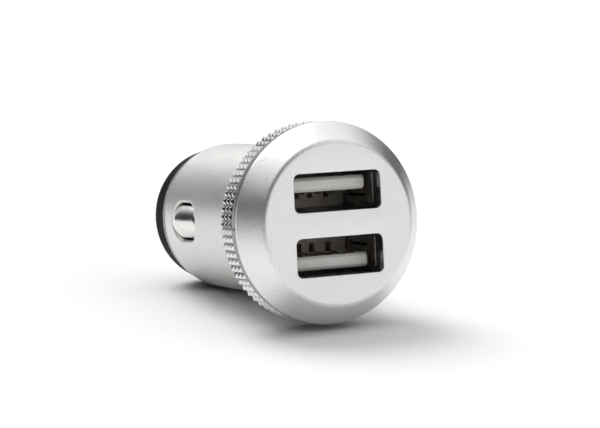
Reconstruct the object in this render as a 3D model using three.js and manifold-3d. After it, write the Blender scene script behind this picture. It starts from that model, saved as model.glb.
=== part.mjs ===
// Dual USB charger for a 12 V vehicle socket, as an assembly of separate pieces.
// Millimetres. The barrel lies along Y: the flat USB face is y = 0 and looks along -Y,
// the tip that goes into the socket points along +Y, and the two ports are stacked along Z.
import * as THREE from "three";
import { mergeVertices } from "three/addons/utils/BufferGeometryUtils.js";
import Module from "manifold-3d";

const wasm = await Module();
wasm.setup();

// ---- Driving dimensions ----
const SEGMENTS = 48; // facets around the turned parts
const CLEARANCE = 0.1; // between pieces that fit together

const HEAD_RADIUS = 13.5; // outer rim of the head
const FACE_RADIUS = 10.45; // flat part of the USB face
const FACE_WALL = 1.0;
const FACE_ROUND = 1.0; // corner between the face and the bevel
const BEVEL_ANGLE = THREE.MathUtils.degToRad(51);
const RIM_START = 3.2; // where the bevel meets the rim
const RIM_Y = 3.5; // back of the cap's rim
const RIM_EDGE = 0.1;
const CAP_BORE = 9.9;
const SKIRT_RADIUS = 11.9; // the skirt that carries both rings
const FLANGE_SEAT = 11.2; // counterbore for the sleeve's flange
const FLANGE_Y = 5.5;
const SKIRT_END = 6.8;

const SLOT = { width: 12.7, height: 5.1, corner: 0.75 };
const PORT_Z = 4.25; // port centre above and below the middle

const SPACER = { radius: 13.4, start: 3.6, end: 4.8, gap: 0.35 };

const KNURL = { around: 80, rows: 3, start: 5.2, end: 8.5, root: 13.05 };
const KNURLED_RING = { start: 4.9, end: 8.6, bore: 12.0, shoulder: 6.9, shoulderBore: 10.55 };

const SLEEVE = { radius: 10.4, bore: 9.7, chamferStart: 34.1, end: 35.4, endRadius: 10.05 };
const WINDOW = { start: 23.7, end: 31.3, halfHeight: 2.78, corner: 2.7 };

const NOSE = { radius: 9.85, taperRadius: 9.6, taperEnd: 38.5, round: 4.0, spigotStart: 33.8 };
const NOSE_END = NOSE.taperEnd + NOSE.round;

const PIN = { radius: 3.0, flange: 4.2, flangeStart: 36.3, flangeEnd: 38.3, end: 45.0, endRound: 1.6 };
const SPRING = { radius: 3.3, wire: 0.25, start: 30.45, turns: 4.5 };
const TERMINAL = { radius: 4.2, thickness: 0.65, tailHalfWidth: 1.5, tailLength: 1.7, tailThickness: 0.3 };

const CARRIER = { radius: 9.55, bore: 8.75, start: 13.4, end: 33.6 };
const LEAF_OPENING = { start: 20.9, halfHeight: 2.6 };

const BOARD = { thickness: 1.6, start: 2.6, waist: 20.8, end: 29.2, halfWidth: 8.6, waistHalfWidth: 6.4 };
const BOARD_TOP = BOARD.thickness / 2;
const SOLDER = 0.05; // between a component and the board

const SHELL = { width: 13.1, height: 5.7, corner: 0.9, wall: 0.29, start: 2.0, end: 12.5 };
const SHELL_FINGER = { start: 4.6, end: 9.4, halfWidth: 0.75, slit: 0.35, lean: 0.05, offset: 3.2 };
const SHELL_LEG = { start: 9.7, end: 11.2, rise: 1.0 }; // rise: how far it overlaps the shell's wall
const TONGUE = { halfWidth: 5.55, bottom: 4.26, top: 6.1, start: 2.7, chamfer: 0.35 };
const INSULATOR = { start: 10.4, end: 12.4, width: 12.3, height: 4.92, corner: 0.6 };
const CONTACT_X = [-3.5, -1.0, 1.0, 3.5];
const CONTACT_WIDTH = 0.9;
const CONTACT_THICKNESS = 0.2;
const GROOVE = { width: 1.15, top: 5.25, start: 3.1 };

const LEAF = { width: 4.6, thickness: 0.35, plane: 9.12, root: 22.3, end: 32.4 };
const LEAF_BEND = 0.3;
const DOME = { centre: 27.5, peak: 11.5, radius: 5.9, outlineLength: 7.3, outlineCorner: 2.25 };

// Parts on the board: side is 1 on top and -1 underneath, x and y are the middle.
const INDUCTOR = { y: 17.9, half: 3.3, corner: 1.0, height: 3.5 };
const CAN = { radius: 3.1, start: 21.8, groove: 0.25, grooveStart: 0.8, grooveWidth: 0.6, edge: 0.3 };
const CAN_ENDS = { input: 27.2, output: 28.6 };
const CHIP_LEG = { width: 0.4, height: 0.5, reach: 1.0 };
const CONVERTER = { side: -1, x: 0, y: 17.2, width: 3.9, length: 4.9, height: 1.5, legs: 4, pitch: 1.27 };
const CONTROLLER = {
  side: -1, x: -5.6, y: 17.2, width: 1.6, length: 2.9, height: 1.1, legs: 3, pitch: 0.95,
};
const DIODE = { side: 1, x: 5.7, y: 16.8, width: 3.0, length: 4.4, height: 2.1 };
const FUSE = { side: 1, x: -5.4, y: 16.4, width: 1.6, length: 3.2, height: 0.8 };
const RESISTOR = { width: 2.0, length: 1.25, height: 0.5 };
const RESISTOR_PLACES = [
  { side: -1, x: 5.0, y: 15.2 },
  { side: -1, x: 5.0, y: 17.6 },
  { side: -1, x: -5.4, y: 20.0 },
  { side: 1, x: -5.4, y: 19.4 },
];
const CERAMIC_CAPACITOR = { width: 3.0, length: 1.3, height: 1.1 };
const CERAMIC_CAPACITOR_PLACES = [
  { side: -1, x: 5.2, y: 19.8 },
  { side: 1, x: 5.2, y: 20.0 },
];

// ---- Materials ----
const satinAluminium = finish(0xd4d3d1, 0.38, 1.0);
const brushedAluminium = finish(0xc4c3c2, 0.42, 1.0);
const polishedNickel = finish(0xe2e1df, 0.12, 1.0);
const greyAnodised = finish(0x99959a, 0.35, 0.8);
const blackPlastic = finish(0x1a1a1c, 0.3, 0.0);
const mattBlackPlastic = finish(0x202022, 0.6, 0.0);
const creamPlastic = finish(0xe4ddd2, 0.5, 0.0);
const tinnedSteel = finish(0x8d8a86, 0.3, 1.0);
const goldPlate = finish(0xd9b36a, 0.2, 1.0);
const brass = finish(0xc9a860, 0.25, 1.0);
const springSteel = finish(0x9c9da0, 0.3, 1.0);
const greenBoard = finish(0x1d5a35, 0.45, 0.0);
const ferrite = finish(0x3a3a3d, 0.6, 0.0);
const canAluminium = finish(0xb9bbbe, 0.3, 0.9);
const chipEpoxy = finish(0x151517, 0.55, 0.0);
const ceramicBody = finish(0xa88f6c, 0.5, 0.0);

function finish(color, roughness, metalness) {
  return new THREE.MeshStandardMaterial({ color, roughness, metalness });
}

// ---- Solids and booleans ----
function solid(geometry) {
  const bare = geometry.clone();
  bare.deleteAttribute("normal");
  bare.deleteAttribute("uv");
  const merged = mergeVertices(bare, 1e-4);
  const mesh = new wasm.Mesh({
    numProp: 3,
    vertProperties: new Float32Array(merged.attributes.position.array),
    triVerts: new Uint32Array(merged.index.array),
  });
  return new wasm.Manifold(mesh);
}

function surface(body) {
  const mesh = body.getMesh();
  const geometry = new THREE.BufferGeometry();
  geometry.setAttribute("position", new THREE.BufferAttribute(mesh.vertProperties, 3));
  geometry.setIndex(new THREE.BufferAttribute(mesh.triVerts, 1));
  geometry.computeVertexNormals();
  return geometry;
}

function cut(geometry, ...tools) {
  return surface(tools.reduce((body, tool) => body.subtract(solid(tool)), solid(geometry)));
}

function join(geometry, ...others) {
  return surface(others.reduce((body, other) => body.add(solid(other)), solid(geometry)));
}

// ---- Shapes ----
function turned(profile, segments = SEGMENTS) {
  return new THREE.LatheGeometry([...profile, profile[0]], segments);
}

function onAxis(profile, segments = SEGMENTS) {
  return new THREE.LatheGeometry(profile, segments);
}

function point(a, b) {
  return new THREE.Vector2(a, b);
}

function arc(centreA, centreB, radius, from, to, steps) {
  return new THREE.EllipseCurve(centreA, centreB, radius, radius, from, to, from > to).getPoints(steps);
}

function box(xMin, xMax, yMin, yMax, zMin, zMax) {
  const geometry = new THREE.BoxGeometry(xMax - xMin, yMax - yMin, zMax - zMin);
  return geometry.translate((xMin + xMax) / 2, (yMin + yMax) / 2, (zMin + zMax) / 2);
}

function roundedRectangle(width, height, corner) {
  const x = width / 2;
  const y = height / 2;
  const shape = new THREE.Shape();
  shape.moveTo(-x + corner, -y);
  shape.lineTo(x - corner, -y);
  shape.absarc(x - corner, -y + corner, corner, -Math.PI / 2, 0, false);
  shape.lineTo(x, y - corner);
  shape.absarc(x - corner, y - corner, corner, 0, Math.PI / 2, false);
  shape.lineTo(-x + corner, y);
  shape.absarc(-x + corner, y - corner, corner, Math.PI / 2, Math.PI, false);
  shape.lineTo(-x, -y + corner);
  shape.absarc(-x + corner, -y + corner, corner, Math.PI, 1.5 * Math.PI, false);
  return shape;
}

// An outline in X and Z, drawn out along Y.
function prismAlongY(shape, yMin, yMax, z = 0) {
  const geometry = new THREE.ExtrudeGeometry(shape, {
    depth: yMax - yMin,
    bevelEnabled: false,
    curveSegments: 4,
  });
  return geometry.rotateX(Math.PI / 2).translate(0, yMax, z);
}

// An outline in Y and Z, drawn out along X and centred on x.
function prismAlongX(shape, width, x = 0) {
  const geometry = new THREE.ExtrudeGeometry(shape, { depth: width, bevelEnabled: false });
  const turn = new THREE.Matrix4().makeBasis(
    new THREE.Vector3(0, 1, 0),
    new THREE.Vector3(0, 0, 1),
    new THREE.Vector3(1, 0, 0),
  );
  return geometry.applyMatrix4(turn).translate(x - width / 2, 0, 0);
}

// An outline in Y and X, drawn out along Z and centred on the middle plane.
function prismAlongZ(shape, width) {
  const geometry = new THREE.ExtrudeGeometry(shape, { depth: width, bevelEnabled: false });
  const turn = new THREE.Matrix4().makeBasis(
    new THREE.Vector3(0, 1, 0),
    new THREE.Vector3(1, 0, 0),
    new THREE.Vector3(0, 0, -1),
  );
  return geometry.applyMatrix4(turn).translate(0, 0, width / 2);
}

// The outline of a strip of even thickness along a centre line.
function strip(line, thickness) {
  const sides = line.map((here, i) => {
    const before = line[Math.max(i - 1, 0)];
    const after = line[Math.min(i + 1, line.length - 1)];
    const entering = (i > 0 ? here.clone().sub(before) : after.clone().sub(here)).normalize();
    const leaving = (i < line.length - 1 ? after.clone().sub(here) : entering.clone()).normalize();
    const normal = point(-entering.y - leaving.y, entering.x + leaving.x).normalize();
    const reach = thickness / 2 / (normal.y * entering.x - normal.x * entering.y);
    return normal.multiplyScalar(reach);
  });
  const left = line.map((here, i) => here.clone().add(sides[i]));
  const right = line.map((here, i) => here.clone().sub(sides[i]));
  return new THREE.Shape([...right, ...left.reverse()]);
}

class Helix extends THREE.Curve {
  constructor(radius, start, end, turns) {
    super();
    Object.assign(this, { radius, start, end, turns });
  }

  getPoint(t, target = new THREE.Vector3()) {
    const angle = t * this.turns * 2 * Math.PI;
    const along = this.start + t * (this.end - this.start);
    return target.set(this.radius * Math.cos(angle), along, this.radius * Math.sin(angle));
  }
}

// ---- Scene graph ----
const charger = new THREE.Group();

function add(parent, name, geometry, material) {
  const mesh = new THREE.Mesh(geometry, material);
  mesh.name = name;
  parent.add(mesh);
}

// ---- Head ----
// A deep cup: flat face, rounded corner, bevel, rim and a skirt behind it.
function capGeometry() {
  const rimRound = 0.25;
  const arcEnd = -Math.PI / 2 + BEVEL_ANGLE;
  const profile = [
    point(0, 0),
    ...arc(FACE_RADIUS, FACE_ROUND, FACE_ROUND, -Math.PI / 2, arcEnd, 3),
    point(HEAD_RADIUS - RIM_EDGE, RIM_START - rimRound),
    point(HEAD_RADIUS, RIM_START),
    point(HEAD_RADIUS, RIM_Y - RIM_EDGE),
    point(HEAD_RADIUS - RIM_EDGE, RIM_Y),
    point(SKIRT_RADIUS, RIM_Y),
    point(SKIRT_RADIUS, SKIRT_END),
    point(FLANGE_SEAT, SKIRT_END),
    point(FLANGE_SEAT, FLANGE_Y),
    point(CAP_BORE, FLANGE_Y),
    point(CAP_BORE, FACE_WALL),
    point(0, FACE_WALL),
  ];
  const slot = roundedRectangle(SLOT.width, SLOT.height, SLOT.corner);
  return cut(
    onAxis(profile),
    prismAlongY(slot, -1, FACE_WALL + 1, PORT_Z),
    prismAlongY(slot, -1, FACE_WALL + 1, -PORT_Z),
  );
}

// A disc behind the face with an opening for each plug.
function portFrameGeometry() {
  const start = FACE_WALL + CLEARANCE;
  const end = SHELL.start - CLEARANCE;
  const radius = CAP_BORE - 2 * CLEARANCE;
  const disc = onAxis([point(0, start), point(radius, start), point(radius, end), point(0, end)]);
  const opening = roundedRectangle(SLOT.width - 2 * CLEARANCE, SLOT.height - CLEARANCE, SLOT.corner);
  return cut(
    disc,
    prismAlongY(opening, start - 1, end + 1, PORT_Z),
    prismAlongY(opening, start - 1, end + 1, -PORT_Z),
  );
}

// A plain ring, split on one side so that it can be sprung over the skirt.
function spacerGeometry() {
  const bore = SKIRT_RADIUS + CLEARANCE;
  const ring = turned([
    point(bore, SPACER.start),
    point(SPACER.radius, SPACER.start),
    point(SPACER.radius, SPACER.end),
    point(bore, SPACER.end),
  ]);
  const split = box(-HEAD_RADIUS - 1, -bore + 1, 0, SPACER.end + 1, -SPACER.gap / 2, SPACER.gap / 2);
  return cut(ring, split);
}

// Rows of square pyramids around a ring that closes on the sleeve behind.
function knurledRingGeometry() {
  const rowPitch = (KNURL.end - KNURL.start) / KNURL.rows;
  const rowEdges = Array.from({ length: KNURL.rows + 1 }, (_, row) => KNURL.start + row * rowPitch);
  const profile = [
    point(KNURLED_RING.bore, KNURLED_RING.start),
    point(KNURL.root, KNURLED_RING.start),
    ...rowEdges.map((y) => point(KNURL.root, y)),
    point(KNURL.root - CLEARANCE, KNURLED_RING.end),
    point(KNURLED_RING.shoulderBore, KNURLED_RING.end),
    point(KNURLED_RING.shoulderBore, KNURLED_RING.shoulder),
    point(KNURLED_RING.bore, KNURLED_RING.shoulder),
  ];
  const firstKnurlEdge = 2;
  const vertices = [];
  const triangles = [];
  const ringPoint = (radius, y, turn) => {
    const angle = (turn / KNURL.around) * 2 * Math.PI;
    return vertices.push(radius * Math.sin(angle), y, radius * Math.cos(angle)) / 3 - 1;
  };
  for (let turn = 0; turn < KNURL.around; turn += 1) {
    profile.forEach((corner) => ringPoint(corner.x, corner.y, turn));
  }
  const index = (turn, k) => (turn % KNURL.around) * profile.length + (k % profile.length);
  for (let turn = 0; turn < KNURL.around; turn += 1) {
    for (let k = 0; k < profile.length; k += 1) {
      const loop = [index(turn, k), index(turn + 1, k), index(turn + 1, k + 1), index(turn, k + 1)];
      const row = k - firstKnurlEdge;
      if (row >= 0 && row < KNURL.rows) {
        const tip = ringPoint(HEAD_RADIUS, rowEdges[row] + rowPitch / 2, turn + 0.5);
        loop.forEach((corner, side) => triangles.push(corner, loop[(side + 1) % 4], tip));
      } else {
        triangles.push(loop[0], loop[1], loop[2], loop[0], loop[2], loop[3]);
      }
    }
  }
  const geometry = new THREE.BufferGeometry();
  geometry.setAttribute("position", new THREE.Float32BufferAttribute(vertices, 3));
  geometry.setIndex(triangles);
  geometry.computeVertexNormals();
  return geometry;
}

function addHead() {
  add(charger, "front_cap", capGeometry(), satinAluminium);
  add(charger, "port_frame", portFrameGeometry(), blackPlastic);
  add(charger, "spacer_ring", spacerGeometry(), greyAnodised);
  add(charger, "knurled_ring", knurledRingGeometry(), polishedNickel);
}

// ---- Barrel ----
// A tube with a flange held between the cap and the knurled ring, a window on each side
// and a chamfered end.
function sleeveGeometry() {
  const flange = {
    radius: FLANGE_SEAT - CLEARANCE,
    start: FLANGE_Y + CLEARANCE,
    end: SKIRT_END - 2 * CLEARANCE,
  };
  const tube = turned([
    point(SLEEVE.bore, flange.start),
    point(flange.radius, flange.start),
    point(flange.radius, flange.end),
    point(SLEEVE.radius, flange.end),
    point(SLEEVE.radius, SLEEVE.chamferStart),
    point(SLEEVE.endRadius, SLEEVE.end),
    point(SLEEVE.bore, SLEEVE.end),
  ]);
  const middle = (WINDOW.start + WINDOW.end) / 2;
  const window = roundedRectangle(WINDOW.end - WINDOW.start, 2 * WINDOW.halfHeight, WINDOW.corner);
  return cut(tube, prismAlongX(window, 4 * SLEEVE.radius).translate(0, middle, 0));
}

// The insulating nose: a spigot inside the sleeve, a taper and a round end with a bore for the pin.
function noseGeometry() {
  const spigot = SLEEVE.bore - CLEARANCE;
  const shoulder = SLEEVE.end + CLEARANCE;
  const bore = PIN.flange + 2 * CLEARANCE;
  const mouth = PIN.radius + 1.5 * CLEARANCE;
  const boreEnd = PIN.flangeEnd + CLEARANCE;
  return turned([
    point(bore, NOSE.spigotStart),
    point(spigot, NOSE.spigotStart),
    point(spigot, shoulder),
    point(NOSE.radius, shoulder),
    ...arc(NOSE.taperRadius - NOSE.round, NOSE.taperEnd, NOSE.round, 0, Math.PI / 2, 5),
    point(mouth, NOSE_END),
    point(mouth, boreEnd),
    point(bore, boreEnd),
  ]);
}

// One half of the inner tube that clamps the board, open at the sides for the ground contacts.
function carrierGeometry() {
  const tube = turned([
    point(CARRIER.bore, CARRIER.start),
    point(CARRIER.radius, CARRIER.start),
    point(CARRIER.radius, CARRIER.end),
    point(CARRIER.bore, CARRIER.end),
  ]);
  const reach = CARRIER.radius + 1;
  const height = LEAF_OPENING.halfHeight;
  return cut(
    tube,
    box(-reach, reach, CARRIER.start - 1, CARRIER.end + 1, -reach, CLEARANCE),
    box(-reach, reach, LEAF_OPENING.start, CARRIER.end + 1, -height, height),
  );
}

function addBarrel() {
  add(charger, "barrel_sleeve", sleeveGeometry(), brushedAluminium);
  add(charger, "nose_cap", noseGeometry(), blackPlastic);
  const lowerHalf = new THREE.Group();
  lowerHalf.rotation.y = Math.PI;
  charger.add(lowerHalf);
  add(charger, "carrier_upper", carrierGeometry(), mattBlackPlastic);
  add(lowerHalf, "carrier_lower", carrierGeometry(), mattBlackPlastic);
}

// ---- USB ports ----
// A folded tin shell with pressed-in fingers on all four sides and two legs down to the board.
function usbShellGeometry() {
  const { width, height, corner, wall } = SHELL;
  const outline = roundedRectangle(width, height, corner);
  outline.holes.push(roundedRectangle(width - 2 * wall, height - 2 * wall, corner - wall));
  const tube = prismAlongY(outline, SHELL.start, SHELL.end);

  const { start, end, halfWidth, slit, lean, offset } = SHELL_FINGER;
  const window = halfWidth + slit;
  const sunk = 0.02; // keeps the finger's face just under the wall's
  const root = 0.1; // how far the finger reaches into the wall behind it
  const sides = [
    { x: -offset, z: height / 2, turn: 0 },
    { x: offset, z: height / 2, turn: 0 },
    { x: -offset, z: height / 2, turn: Math.PI },
    { x: offset, z: height / 2, turn: Math.PI },
    { x: 0, z: width / 2, turn: Math.PI / 2 },
    { x: 0, z: width / 2, turn: -Math.PI / 2 },
  ];
  const windows = sides.map(({ x, z, turn }) =>
    box(x - window, x + window, start - slit, end, z - 1, z + 1).rotateY(turn));
  const fingers = sides.map(({ x, z, turn }) => {
    const blade = box(-halfWidth, halfWidth, start - end, root, -wall, 0);
    return blade.rotateX(lean).translate(x, end, z - sunk).rotateY(turn);
  });
  const legTop = -height / 2 + SHELL_LEG.rise;
  const legBottom = BOARD_TOP + SOLDER - PORT_Z;
  const legInner = width / 2 - wall;
  const legs = [
    box(legInner, width / 2, SHELL_LEG.start, SHELL_LEG.end, legBottom, legTop),
    box(-width / 2, -legInner, SHELL_LEG.start, SHELL_LEG.end, legBottom, legTop),
  ];
  return join(cut(tube, ...windows), ...fingers, ...legs).translate(0, 0, PORT_Z);
}

// A plastic block that closes the shell, with the tongue that carries the contacts.
function insulatorGeometry() {
  const { halfWidth, bottom, top, start, chamfer } = TONGUE;
  const root = INSULATOR.start + 0.1;
  const side = new THREE.Shape([
    point(start, bottom + chamfer),
    point(start + chamfer, bottom),
    point(root, bottom),
    point(root, top),
    point(start + chamfer, top),
    point(start, top - chamfer),
  ]);
  const outline = roundedRectangle(INSULATOR.width, INSULATOR.height, INSULATOR.corner);
  const block = prismAlongY(outline, INSULATOR.start, INSULATOR.end, PORT_Z);
  const body = join(prismAlongX(side, 2 * halfWidth), block);
  const grooves = CONTACT_X.map((x) => {
    const left = x - GROOVE.width / 2;
    const right = x + GROOVE.width / 2;
    return box(left, right, GROOVE.start, INSULATOR.end + 1, bottom - CLEARANCE, GROOVE.top);
  });
  return cut(body, ...grooves);
}

// A flat spring: a rounded tip, a raised touching point, a long arm and a tail down to the board.
function usbContactGeometry(x) {
  const tail = INSULATOR.end + 0.5;
  const line = [
    point(3.45, 4.6),
    point(3.75, 4.12),
    point(4.1, 3.98),
    point(4.5, 4.08),
    point(6.2, 4.46),
    point(10.2, 4.62),
    point(tail, 4.62),
    point(tail + 0.15, 4.45),
    point(tail + 0.15, BOARD_TOP + 0.25),
  ];
  return prismAlongX(strip(line, CONTACT_THICKNESS), CONTACT_WIDTH, x);
}

function addPort(parent, name) {
  add(parent, `usb_shell_${name}`, usbShellGeometry(), tinnedSteel);
  add(parent, `usb_insulator_${name}`, insulatorGeometry(), creamPlastic);
  CONTACT_X.forEach((x, i) => {
    add(parent, `usb_contact_${name}_${i + 1}`, usbContactGeometry(x), goldPlate);
  });
}

function addPorts() {
  const lowerPort = new THREE.Group();
  lowerPort.rotation.y = Math.PI;
  charger.add(lowerPort);
  addPort(charger, "upper");
  addPort(lowerPort, "lower");
}

// ---- Socket contacts ----
// A stamped leaf: a foot at the board's edge, an arm and a dome that stands out of the window.
// Above the arm, the dome is trimmed to a rounded outline that clears the window's corners.
function groundContactGeometry() {
  const domeCentre = DOME.peak - DOME.radius;
  const spread = Math.acos((SLEEVE.radius - domeCentre) / DOME.radius);
  const middleRadius = DOME.radius - LEAF.thickness / 2;
  const dome = arc(DOME.centre, domeCentre, middleRadius, Math.PI / 2 + spread, Math.PI / 2 - spread, 10);
  const slope = 0.1; // the flank of the dome leans out by this much
  const flankRise = 0.2;
  const flankStart = dome[0].x - slope / 2;
  const flankEnd = dome.at(-1).x + slope / 2;
  const line = [
    point(LEAF.root, BOARD.waistHalfWidth + 0.25),
    point(LEAF.root, LEAF.plane - LEAF_BEND),
    point(LEAF.root + LEAF_BEND, LEAF.plane),
    point(flankStart - slope, LEAF.plane),
    point(flankStart, LEAF.plane + flankRise),
    ...dome,
    point(flankEnd, LEAF.plane + flankRise),
    point(flankEnd + slope, LEAF.plane),
    point(LEAF.end, LEAF.plane - slope),
  ];
  const armTop = LEAF.plane + LEAF.thickness / 2 + 0.05;
  const footprint = roundedRectangle(DOME.outlineLength, LEAF.width, DOME.outlineCorner);
  const dieHole = prismAlongX(footprint, 2 * HEAD_RADIUS, HEAD_RADIUS).translate(0, DOME.centre, 0);
  const die = box(armTop, HEAD_RADIUS, LEAF.root, LEAF.end, -LEAF.width, LEAF.width);
  return cut(prismAlongZ(strip(line, LEAF.thickness), LEAF.width), cut(die, dieHole));
}

// The centre contact: a flange held inside the nose and a round-ended pin.
function pinGeometry() {
  const { radius, end, endRound } = PIN;
  return onAxis([
    point(0, PIN.flangeStart),
    point(PIN.flange, PIN.flangeStart),
    point(PIN.flange, PIN.flangeEnd),
    point(radius, PIN.flangeEnd),
    ...arc(radius - endRound, end - endRound, endRound, 0, Math.PI / 2, 4),
    point(0, PIN.end),
  ], 32);
}

function springGeometry() {
  const { radius, wire, start, turns } = SPRING;
  const sides = 5;
  const section = new THREE.Shape(new THREE.EllipseCurve(0, 0, wire, wire).getPoints(sides).slice(0, sides));
  const path = new Helix(radius, start, PIN.flangeStart - 0.3, turns);
  return new THREE.ExtrudeGeometry(section, { steps: 48, extrudePath: path, bevelEnabled: false });
}

// A round pad behind the spring, with a tail on the board.
function tipTerminalGeometry() {
  const { radius, thickness, tailHalfWidth, tailLength, tailThickness } = TERMINAL;
  const start = BOARD.end + 0.3;
  const end = start + thickness;
  const disc = onAxis([point(0, start), point(radius, start), point(radius, end), point(0, end)], 32);
  const bottom = BOARD_TOP + SOLDER;
  const tail = box(-tailHalfWidth, tailHalfWidth, BOARD.end - tailLength, start + 0.1,
    bottom, bottom + tailThickness);
  return join(disc, tail);
}

function addSocketContacts() {
  const leftSide = new THREE.Group();
  leftSide.rotation.y = Math.PI;
  charger.add(leftSide);
  add(charger, "ground_contact_right", groundContactGeometry(), polishedNickel);
  add(leftSide, "ground_contact_left", groundContactGeometry(), polishedNickel);
  add(charger, "tip_pin", pinGeometry(), brass);
  add(charger, "tip_spring", springGeometry(), springSteel);
  add(charger, "tip_terminal", tipTerminalGeometry(), brass);
}

// ---- Electronics ----
// Full width between the carriers, with a waist that keeps clear of the ground contacts.
function boardGeometry() {
  const wide = BOARD.halfWidth;
  const narrow = BOARD.waistHalfWidth;
  const half = BOARD_TOP;
  return join(
    box(-wide, wide, BOARD.start, BOARD.waist, -half, half),
    box(-narrow, narrow, BOARD.waist - 1, BOARD.end, -half, half),
  );
}

// A box that stands on the board.
function onBoard({ side, x, y, width, length, height }) {
  const near = side * (BOARD_TOP + SOLDER);
  const far = near + side * height;
  const [low, high] = [Math.min(near, far), Math.max(near, far)];
  return box(x - width / 2, x + width / 2, y - length / 2, y + length / 2, low, high);
}

// A drum core in a square shield with cut corners.
function inductorGeometry() {
  const { y, half, corner, height } = INDUCTOR;
  const inset = half - corner;
  const outline = new THREE.Shape([
    point(-inset, -half), point(inset, -half), point(half, -inset), point(half, inset),
    point(inset, half), point(-inset, half), point(-half, inset), point(-half, -inset),
  ]);
  const geometry = new THREE.ExtrudeGeometry(outline, { depth: height, bevelEnabled: false });
  return geometry.translate(0, y, BOARD_TOP + SOLDER);
}

// An electrolytic can lying along the board, with the crimped groove near its base.
function canGeometry(side, end) {
  const { radius, start, groove, grooveStart, grooveWidth, edge } = CAN;
  const profile = [
    point(0, start),
    point(radius, start),
    point(radius, start + grooveStart),
    point(radius - groove, start + grooveStart + grooveWidth / 2),
    point(radius, start + grooveStart + grooveWidth),
    point(radius, end - edge),
    point(radius - edge, end),
    point(0, end),
  ];
  return onAxis(profile, 20).translate(0, 0, side * (BOARD_TOP + SOLDER + radius + CLEARANCE));
}

// A chip with a row of legs on each side.
function chipGeometry(chip) {
  const legs = [];
  for (let leg = 0; leg < chip.legs; leg += 1) {
    const y = chip.y + (leg - (chip.legs - 1) / 2) * chip.pitch;
    const width = chip.width + 2 * CHIP_LEG.reach;
    legs.push(onBoard({ ...chip, y, width, length: CHIP_LEG.width, height: CHIP_LEG.height }));
  }
  return join(onBoard(chip), ...legs);
}

function addElectronics() {
  add(charger, "circuit_board", boardGeometry(), greenBoard);
  add(charger, "inductor", inductorGeometry(), ferrite);
  add(charger, "input_capacitor", canGeometry(1, CAN_ENDS.input), canAluminium);
  add(charger, "output_capacitor", canGeometry(-1, CAN_ENDS.output), canAluminium);
  add(charger, "converter_chip", chipGeometry(CONVERTER), chipEpoxy);
  add(charger, "charge_controller_chip", chipGeometry(CONTROLLER), chipEpoxy);
  add(charger, "rectifier_diode", onBoard(DIODE), chipEpoxy);
  add(charger, "fuse", onBoard(FUSE), ceramicBody);
  RESISTOR_PLACES.forEach((place, i) => {
    add(charger, `resistor_${i + 1}`, onBoard({ ...place, ...RESISTOR }), chipEpoxy);
  });
  CERAMIC_CAPACITOR_PLACES.forEach((place, i) => {
    add(charger, `ceramic_capacitor_${i + 1}`, onBoard({ ...place, ...CERAMIC_CAPACITOR }), ceramicBody);
  });
}

addHead();
addBarrel();
addPorts();
addSocketContacts();
addElectronics();

export default charger;
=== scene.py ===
"""Finished surfaces for a dual USB charger for a 12 V vehicle socket.

Metres, +Y from the flat USB face to the tip, +Z up through the two stacked ports.
"""

import math

import bmesh
import bpy
from mathutils import Matrix, Vector


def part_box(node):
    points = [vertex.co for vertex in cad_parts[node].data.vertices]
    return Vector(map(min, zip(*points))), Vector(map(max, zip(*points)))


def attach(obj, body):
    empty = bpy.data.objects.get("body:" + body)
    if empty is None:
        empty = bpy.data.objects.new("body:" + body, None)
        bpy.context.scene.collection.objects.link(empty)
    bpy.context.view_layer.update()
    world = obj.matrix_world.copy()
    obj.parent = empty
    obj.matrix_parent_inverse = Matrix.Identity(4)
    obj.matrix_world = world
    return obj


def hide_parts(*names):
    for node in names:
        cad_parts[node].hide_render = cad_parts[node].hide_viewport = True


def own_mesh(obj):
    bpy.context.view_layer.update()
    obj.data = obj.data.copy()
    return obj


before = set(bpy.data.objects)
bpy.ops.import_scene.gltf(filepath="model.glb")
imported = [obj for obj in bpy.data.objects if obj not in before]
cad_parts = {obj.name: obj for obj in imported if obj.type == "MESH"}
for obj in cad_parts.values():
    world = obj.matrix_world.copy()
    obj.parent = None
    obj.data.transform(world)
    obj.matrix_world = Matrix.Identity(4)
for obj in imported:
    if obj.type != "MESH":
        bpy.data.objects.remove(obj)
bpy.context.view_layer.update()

# ---- Driving dimensions ----
MM = 0.001
SEGMENTS = 192  # facets around the turned pieces
LOOP_SEGMENTS = 96  # facets around a port opening or a dome
CLEARANCE = 0.1 * MM  # between pieces that fit together

HEAD_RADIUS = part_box("front_cap")[1].x
FACE_RADIUS = 10.45 * MM
FACE_WALL = 1.0 * MM
FACE_ROUND = 1.0 * MM
BEVEL_ANGLE = math.radians(51)
RIM_ROUND = 0.35 * MM
RIM_Y = 3.5 * MM
CAP_BORE = 9.9 * MM
SKIRT_RADIUS = 11.9 * MM
FLANGE_SEAT = 11.2 * MM
FLANGE_Y = 5.5 * MM
SKIRT_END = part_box("front_cap")[1].y

SLOT_WIDTH = 12.7 * MM
SLOT_HEIGHT = 5.1 * MM
SLOT_CORNER = 0.75 * MM
PORT_Z = 4.25 * MM

SPACER_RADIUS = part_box("spacer_ring")[1].z
SPACER_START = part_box("spacer_ring")[0].y
SPACER_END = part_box("spacer_ring")[1].y
SPACER_GAP = 0.35 * MM

KNURL_AROUND = 80
KNURL_ROWS = 3
KNURL_START = 5.2 * MM
KNURL_END = 8.5 * MM
KNURL_ROOT = 13.05 * MM
KNURL_VALLEY = 0.03  # half the floor of a groove between teeth, in pitches
KNURL_TIP = 0.455  # where the flat on a tooth's tip starts, in pitches
KNURL_GROOVE_SHADE = 0.45  # how far up a tooth the painted shade of the grooves reaches, as a part of its height
RING_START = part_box("knurled_ring")[0].y
RING_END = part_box("knurled_ring")[1].y
RING_BORE = 12.0 * MM
RING_SHOULDER = 6.9 * MM
RING_SHOULDER_BORE = 10.55 * MM

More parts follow.
